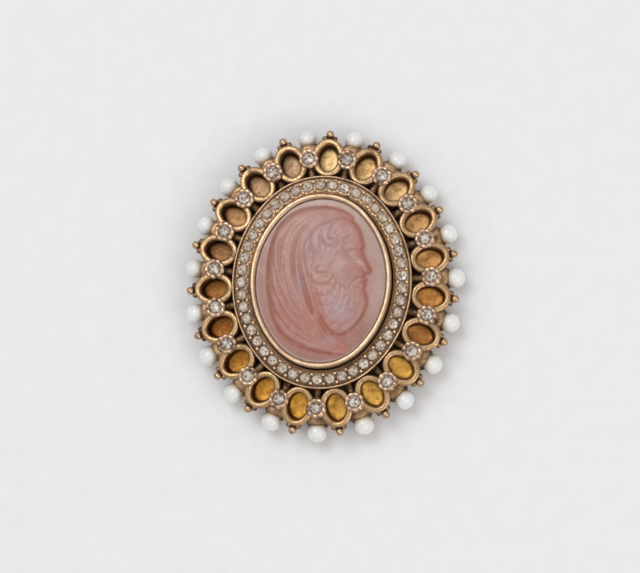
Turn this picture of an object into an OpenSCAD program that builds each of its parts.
// Oval cameo brooch in gold, lying face up on its back.
// A carved stone stands in a plain bezel. Round it runs a channel of small rose cut diamonds, and round
// that a border of open cups and diamond collets, edged with pearls and triplets of gold granules.
// +X is the picture's right, +Y its top, +Z points out of the face. The foot rim stands on z = 0.

/* [Border] */
// Half width of the oval line on which the cups and collets stand
border_line = 17.45; // [17.2:0.05:17.6]
// How much taller than wide the half size of every large oval is
oval_diff = 2.7; // [2.5:0.1:2.9]
// Number of cups, of collets and of pearls
stations = 19; // [18:1:19]
// Height of the cup rims above the foot
rim_top = 6.2; // [6.1:0.05:6.3]

/* [Cups] */
// Half width of a cup along the border, to the middle of its rim
cup_half = 2.15; // [2.05:0.05:2.2]
// How much longer a cup's half size is across the border
cup_diff = 0.5; // [0.4:0.05:0.6]
// Width of the rounded rim
rim_width = 1; // [0.9:0.05:1.05]
// Thickness of the wall under the rim
cup_wall = 0.75; // [0.65:0.05:0.8]
// Depth from the middle of the rim to the floor
cup_depth = 2.7; // [2.6:0.1:2.9]
// How far a cup leans outwards, in degrees
cup_splay = 8; // [6:1:9]

/* [Collets and granules] */
// Radius of a collet's neck
neck_radius = 1.3; // [1.2:0.05:1.35]
// Radius of the crown between its lobes
crown_radius = 1.5; // [1.45:0.05:1.55]
// Number of lobes round a crown
crown_lobes = 9; // [8:1:10]
// Height of the crown band
crown_height = 0.5; // [0.45:0.05:0.6]
// Diameter of a border diamond
border_stone = 2.1; // [1.9:0.05:2.2]
// Diameter of the outer granule of each three
big_granule = 1.3; // [1.25:0.05:1.35]
// Diameter of the two side granules
small_granule = 0.95; // [0.95:0.05:1.05]

/* [Pearls] */
// Mean diameter of a pearl
pearl_size = 3.2; // [3:0.05:3.3]
// How far the pearls stand outside the border line
pearl_reach = 3.6; // [3.55:0.05:3.7]
// Height of the pearls' centres
pearl_height = 3.2; // [3.1:0.05:3.3]
// Diameter of the peg in each pearl
peg_size = 0.6; // [0.5:0.05:0.7]

/* [Halo] */
// Half width of the line that the small diamonds stand on
halo_line = 12.8; // [12.7:0.05:12.85]
// Number of small diamonds
halo_count = 45; // [43:1:47]
// Diameter of a small diamond
halo_stone = 1.6; // [1.5:0.05:1.65]
// Height of the halo's floor, where the small diamonds lie
halo_floor = 6.95; // [6.9:0.05:7.1]

/* [Bezel and cameo] */
// Half width of the bezel, outside
bezel_half = 11.2; // [11.1:0.05:11.25]
// Height of the bezel's top edge
bezel_top = 9.4; // [9.2:0.1:9.6]
// Thickness of the bezel's wall
bezel_wall = 0.52; // [0.5:0.02:0.56]
// How far the bezel's lip turns in over the stone
lip_reach = 0.26; // [0.22:0.02:0.3]
// Height of the cameo's underside
cameo_seat = 5.2; // [5:0.1:5.4]
// Height of the highest relief above the stone's ground
relief_height = 1.3; // [1.2:0.05:1.4]

/* [Back] */
// Height of the back plate's underside above the foot
plate_height = 2.2; // [2.2:0.05:2.3]
// Thickness of the back plate
plate_thick = 0.5; // [0.45:0.05:0.55]
// Half width of the foot rim's middle
foot_line = 16.2; // [15.8:0.1:16.4]
// Width of the foot rim
foot_width = 0.9; // [0.8:0.05:1.1]
// Diameter of the pin's stem
stem_size = 0.9; // [0.8:0.05:1]
// Length of the stem between hinge and catch
stem_length = 24; // [20:1:26]

/* [Hidden] */
// Clearance between a stone or pearl and the gold that holds it
fit_gap = 0.05;
// Smoothness of large arcs, of small rounds and of grains
$fn = 96;
round_fn = 40;
grain_fn = 20;

// An oval of half width a and half height a + diff is drawn with four quarter arcs, so all parallel
// ovals share their centres. A heading is the direction of the oval's outward normal, in degrees
// clockwise from the top.
function arc_offset(diff) = diff * (1 + 1 / sqrt(2));
function quarter_of(heading) = floor((heading + 45) / 90) % 4;
function arc_centre(quarter, diff) = arc_offset(diff) * [[0, 1], [-1, 0], [0, -1], [1, 0]][quarter];
function arc_radius(a, quarter, diff) =
    quarter % 2 == 0 ? a + diff - arc_offset(diff) : a + arc_offset(diff);
function oval_point(a, heading, diff = oval_diff) =
    let (quarter = quarter_of(heading))
    arc_centre(quarter, diff) + arc_radius(a, quarter, diff) * [sin(heading), cos(heading)];

// Heading at a share of the way round, with equal lengths of oval for equal shares
function heading_at(a, share, diff = oval_diff) =
    let (
        ends = arc_radius(a, 0, diff),
        sides = arc_radius(a, 1, diff),
        way = 2 * (ends + sides) * share,
        half_end = ends / 2
    )
    way < half_end ? 90 * way / ends :
    way < half_end + sides ? 45 + 90 * (way - half_end) / sides :
    way < 1.5 * ends + sides ? 135 + 90 * (way - half_end - sides) / ends :
    way < 1.5 * ends + 2 * sides ? 225 + 90 * (way - 1.5 * ends - sides) / sides :
    315 + 90 * (way - 1.5 * ends - 2 * sides) / ends;

cup_headings = [for (i = [0:stations - 1]) heading_at(border_line, i / stations)];
collet_headings = [for (i = [0:stations - 1]) heading_at(border_line, (i + 0.5) / stations)];
halo_headings = [for (i = [0:halo_count - 1]) heading_at(halo_line, (i + 0.5) / halo_count)];
grain_headings = [for (i = [0:halo_count - 1]) heading_at(halo_line, i / halo_count)];

// Stands its children on the oval of half width a, with their +Y pointing outwards
module on_oval(a, heading) {
    place = oval_point(a, heading);
    translate([place.x, place.y, 0]) rotate([0, 0, -heading]) children();
}

// Carries a flat profile once round an oval: its x runs outwards from the oval, its y upwards
module sweep_oval(a, diff = oval_diff) {
    for (quarter = [0:3]) {
        centre = arc_centre(quarter, diff);
        translate([centre.x, centre.y, 0]) rotate([0, 0, 45 - 90 * quarter])
            rotate_extrude(angle = 90) translate([arc_radius(a, quarter, diff), 0]) children();
    }
}

// Filled oval, drawn with straight steps
module oval_area(a, diff, steps) {
    polygon([for (i = [0:steps - 1]) oval_point(a, 360 * i / steps, diff)]);
}

// A rose cut stone, flat below: twelve sides, six star points and an apex
module rose_cut(size, edge, star, peak) {
    ring = [for (i = [0:11]) [cos(30 * i), sin(30 * i)] * size / 2];
    star_ring = [for (i = [0:5]) [cos(60 * i), sin(60 * i)] * size * 0.3];
    points = concat(
        [for (p = ring) [p.x * 0.96, p.y * 0.96, 0]],
        [for (p = ring) [p.x, p.y, edge]],
        [for (p = star_ring) [p.x, p.y, star]],
        [[0, 0, peak]]
    );
    faces = concat(
        [[for (i = [0:11]) i]],
        [for (i = [0:11]) let (j = (i + 1) % 12) [i, i + 12, j + 12, j]],
        [for (k = [0:5]) [24 + k, 13 + 2 * k, 12 + 2 * k]],
        [for (k = [0:5]) let (m = (k + 1) % 6) [24 + k, 24 + m, 13 + 2 * k]],
        [for (k = [0:5]) let (m = (k + 1) % 6) [24 + m, 12 + 2 * m, 13 + 2 * k]],
        [for (k = [0:5]) let (m = (k + 1) % 6) [24 + k, 30, 24 + m]]
    );
    polyhedron(points, faces);
}

// Gold frame
// Reach of the back plate past the border line, and depth to which cup walls run down
plate_reach = 1.5;
wall_run = 4;
// Everything that stands on the plate starts inside its thickness
frame_floor = plate_height + plate_thick / 2;
// The inner drum that carries the halo
drum_line = 13.2;
drum_width = 0.8;
drum_top = halo_floor - 0.35;
// The collet's crown starts just above the cup rims
crown_base = rim_top + 0.1;
lobe_radius = 0.35;
lobe_ring = crown_radius - 0.2;
stone_seat = crown_base + crown_height - 0.4;
// A pearl's seat is a cone behind the collet that fills the corner between two cups
seat_place = 1.2;
seat_foot = 2.1;
seat_head = 1.35;
seat_top = rim_top - 1.4;
// A rib ties each collet to the drum
rib_width = 1.3;
rib_top = 5.2;
// The granules sit against the outer wall of a cup, a little under its rim
granule_height = rim_top - 0.85;
granule_reach = cup_half + cup_diff + 1.25;
// The side granules stand beside and behind the outer one
granule_side = 0.76;
granule_back = 0.74;

// Pearls are not matched: they run a little larger towards the foot of the oval
function pearl_radius(heading) = pearl_size / 2 * (1 - 0.03 * cos(heading) + 0.02 * sin(5 * heading));

module cup() {
    translate([0, 0, rim_top - rim_width / 2]) rotate([-cup_splay, 0, 0]) {
        sweep_oval(cup_half, cup_diff) {
            circle(d = rim_width, $fn = round_fn);
            translate([-cup_wall / 2, -wall_run]) square([cup_wall, wall_run]);
        }
        translate([0, 0, -wall_run]) linear_extrude(wall_run - cup_depth)
            oval_area(cup_half, cup_diff, round_fn);
    }
}

module collet() {
    difference() {
        union() {
            translate([0, 0, frame_floor])
                cylinder(h = crown_base + 0.1 - frame_floor, r = neck_radius, $fn = round_fn);
            translate([0, 0, crown_base]) linear_extrude(crown_height) {
                circle(r = crown_radius, $fn = round_fn);
                for (k = [0:crown_lobes - 1]) rotate(360 * k / crown_lobes)
                    translate([lobe_ring, 0]) circle(r = lobe_radius, $fn = grain_fn);
            }
        }
        translate([0, 0, stone_seat])
            cylinder(h = 1, d = border_stone + 2 * fit_gap, $fn = round_fn);
    }
}

module granules() {
    translate([0, granule_reach, granule_height]) sphere(d = big_granule, $fn = grain_fn);
    for (side = [-1, 1])
        translate([side * granule_side, granule_reach - granule_back, granule_height])
            sphere(d = small_granule, $fn = grain_fn);
}

module pearl_seat(heading) {
    difference() {
        translate([0, seat_place, frame_floor])
            cylinder(h = seat_top - frame_floor, r1 = seat_foot, r2 = seat_head, $fn = round_fn);
        translate([0, pearl_reach, pearl_height])
            sphere(r = pearl_radius(heading) + fit_gap, $fn = round_fn);
    }
    translate([0, seat_place, pearl_height]) rotate([-90, 0, 0])
        cylinder(h = pearl_reach - seat_place, d = peg_size, $fn = grain_fn);
}

module rib() {
    inner = drum_line + drum_width / 4 - border_line;
    translate([-rib_width / 2, inner, frame_floor])
        cube([rib_width, -inner - neck_radius / 2, rib_top - frame_floor]);
}

module gold_frame() color("goldenrod") {
    translate([0, 0, plate_height]) linear_extrude(plate_thick)
        oval_area(border_line + plate_reach, oval_diff, $fn);
    sweep_oval(foot_line) translate([-foot_width / 2, 0]) square([foot_width, frame_floor]);
    sweep_oval(drum_line) translate([-drum_width / 2, frame_floor])
        square([drum_width, drum_top - frame_floor]);
    intersection() {
        union() for (heading = cup_headings) on_oval(border_line, heading) cup();
        translate([-40, -40, plate_height]) cube([80, 80, 20]);
    }
    for (heading = cup_headings) on_oval(border_line, heading) granules();
    for (heading = collet_headings) on_oval(border_line, heading) {
        collet();
        pearl_seat(heading);
        rib();
    }
}

// Halo
halo_inside = -1.35;
halo_outside = 1.6;
halo_base = halo_floor - 0.3;
rim_wire = 0.3;
inner_wire = 0.22;
grain_size = 0.52;

module halo_setting() color("tan") {
    sweep_oval(halo_line) polygon([
        [halo_inside, halo_base],
        [halo_outside, halo_base],
        [halo_outside, halo_floor + 0.35],
        [halo_outside - rim_wire, halo_floor + 0.35],
        [halo_outside - rim_wire, halo_floor],
        [halo_inside + inner_wire, halo_floor],
        [halo_inside + inner_wire, halo_floor + 0.2],
        [halo_inside, halo_floor + 0.2]
    ]);
    for (heading = grain_headings, side = [-0.68, 0.78]) on_oval(halo_line, heading)
        translate([0, side, halo_floor + 0.12]) sphere(d = grain_size, $fn = grain_fn);
}

module halo_diamonds() color("lightgray")
    for (heading = halo_headings) on_oval(halo_line, heading)
        translate([0, 0.05, halo_floor + fit_gap / 2]) rose_cut(halo_stone, 0.12, 0.38, 0.52);

module border_diamond(i) color("gainsboro") on_oval(border_line, collet_headings[i - 1])
    translate([0, 0, stone_seat + fit_gap / 2]) rose_cut(border_stone, 0.2, 0.55, 0.75);

// Bezel
lip_half = bezel_half - bezel_wall - lip_reach;
ledge_width = 0.8;

module cameo_bezel() color("gold")
    sweep_oval(bezel_half) polygon([
        [-bezel_wall - ledge_width, plate_height + plate_thick + fit_gap],
        [0, plate_height + plate_thick + fit_gap],
        [0, bezel_top - 0.3],
        [-0.2, bezel_top],
        [-0.6, bezel_top],
        [-bezel_wall - lip_reach, bezel_top - 0.25],
        [-bezel_wall - 0.02, bezel_top - 0.75],
        [-bezel_wall, cameo_seat - fit_gap],
        [-bezel_wall - ledge_width, cameo_seat - fit_gap]
    ]);

// Cameo
// The ground is slightly domed. Its edge is bevelled to pass under the bezel's lip.
stone_half = bezel_half - bezel_wall - 2 * fit_gap;
edge_half = lip_half - 0.1;
shoulder = bezel_top - 1.15;
ground = bezel_top - 0.6;
ground_rise = 0.35;
grid_across = 48;
grid_up = 58;

// Rounded masses of the veiled head, which looks to the right:
// [across, up, half length, half width, turn from upright, height as a share of the relief]
masses = [
    [-1.4, 0.2, 11.2, 7.3, 4, 0.62],
    [1.3, 6.2, 4.9, 5.0, 0, 0.86],
    [3.4, 2.6, 5.6, 3.5, 2, 0.94],
    [6.3, 2.4, 1.5, 0.8, -20, 0.8],
    [3.5, -4.3, 4.2, 3.9, -8, 1],
    [5.3, -1.0, 2.4, 1.5, 10, 0.9],
    [-0.9, -9.4, 2.7, 5.4, 0, 0.7]
];

// Height of one mass: nearly flat on top, with a steep edge
function mass_height(m, x, y) =
    let (
        dx = x - m[0],
        dy = y - m[1],
        along = (dy * cos(m[4]) + dx * sin(m[4])) / m[2],
        across = (dx * cos(m[4]) - dy * sin(m[4])) / m[3],
        reach = along * along + across * across
    )
    reach >= 1 ? 0 : m[5] * (1 - pow(reach, 2.5));

// Long folds of the veil sweep down from the crown on the left of the face
function fold_height(x, y) =
    let (
        bow = x + 0.035 * pow(y - 3, 2) - 0.12 * y,
        veil = max(0, min(1, (0.6 - x) / 2))
    )
    0.09 * veil * cos(360 * bow / 2.1);

function relief(x, y) =
    let (body = max([for (m = masses) mass_height(m, x, y)]))
    body <= 0 ? 0 : relief_height * max(0, body + fold_height(x, y) * min(1, 3 * body));

// A square grid is bent to fill the oval, so its edge follows the bezel
function disc_point(u, v) = [u * sqrt(1 - v * v / 2), v * sqrt(1 - u * u / 2)];
function cameo_point(u, v) =
    let (
        p = disc_point(u, v),
        far = norm(p),
        heading = (atan2(p.x, p.y) + 360) % 360,
        edge = oval_point(edge_half, heading)
    )
    let (x = far * edge.x, y = far * edge.y)
    [x, y, ground + ground_rise * (1 - far * far) + (far > 0.995 ? 0 : relief(x, y))];

module cameo() color("rosybrown") {
    across = grid_across + 1;
    up = grid_up + 1;
    top = [for (j = [0:grid_up], i = [0:grid_across])
        cameo_point(2 * i / grid_across - 1, 2 * j / grid_up - 1)];
    // The grid's edge, once round anticlockwise
    rim = concat(
        [for (i = [0:grid_across - 1]) i],
        [for (j = [0:grid_up - 1]) j * across + grid_across],
        [for (i = [grid_across:-1:1]) grid_up * across + i],
        [for (j = [grid_up:-1:1]) j * across]
    );
    count = len(rim);
    rim_headings = [for (k = rim) (atan2(
        disc_edge(k, across).x, disc_edge(k, across).y) + 360) % 360];
    side = [for (h = rim_headings) let (p = oval_point(stone_half, h)) [p.x, p.y, shoulder]];
    base = [for (h = rim_headings) let (p = oval_point(stone_half, h)) [p.x, p.y, cameo_seat]];
    first = len(top);
    polyhedron(
        concat(top, side, base),
        concat(
            [for (j = [0:grid_up - 1], i = [0:grid_across - 1])
                let (a = j * across + i) [a, a + across, a + across + 1]],
            [for (j = [0:grid_up - 1], i = [0:grid_across - 1])
                let (a = j * across + i) [a, a + across + 1, a + 1]],
            [for (k = [0:count - 1]) let (n = (k + 1) % count)
                [rim[k], rim[n], first + n, first + k]],
            [for (k = [0:count - 1]) let (n = (k + 1) % count)
                [first + k, first + n, first + count + n, first + count + k]],
            [[for (k = [0:count - 1]) first + count + k]]
        )
    );
}

// Place on the unit disc of the grid point with number k
function disc_edge(k, across) =
    disc_point(2 * (k % across) / grid_across - 1, 2 * floor(k / across) / grid_up - 1);

// One pearl, drilled from the inside to just past its centre
module pearl(i) color("ivory") {
    heading = collet_headings[i - 1];
    radius = pearl_radius(heading);
    on_oval(border_line, heading) translate([0, pearl_reach, pearl_height]) difference() {
        sphere(r = radius, $fn = 64);
        translate([0, -radius - 1, 0]) rotate([-90, 0, 0])
            cylinder(h = radius + 1.1, d = peg_size + 2 * fit_gap, $fn = grain_fn);
    }
}

// Pin behind the plate: hinge, stem and catch in one plain piece
pin_place = 4;
pin_height = 1;
barrel_size = 1.6;
pad_thick = 0.45;
pad_top = plate_height - fit_gap;

module brooch_pin() color("darkgoldenrod") translate([0, pin_place, 0]) {
    translate([-stem_length / 2, 0, pin_height]) rotate([0, 90, 0])
        cylinder(h = stem_length + 1, d = stem_size, $fn = round_fn);
    translate([-stem_length / 2, 1.6, pin_height]) rotate([90, 0, 0])
        cylinder(h = 3.2, d = barrel_size, $fn = round_fn);
    translate([stem_length / 2 - 0.8, 0, pin_height]) rotate([0, 90, 0])
        cylinder(h = 1.6, d = barrel_size, $fn = round_fn);
    for (end = [-1, 1]) translate([end * stem_length / 2 - 1.25, -1.8, pad_top - pad_thick])
        cube([2.5, 3.6, pad_thick]);
    for (end = [-1, 1]) translate([end * stem_length / 2 - 0.5, -0.6, pin_height + 0.1])
        cube([1, 1.2, pad_top - pin_height - 0.1 - pad_thick / 2]);
}

gold_frame();
halo_setting();
halo_diamonds();
cameo_bezel();
cameo();
brooch_pin();
for (i = [1:stations]) border_diamond(i);
for (i = [1:stations]) pearl(i);
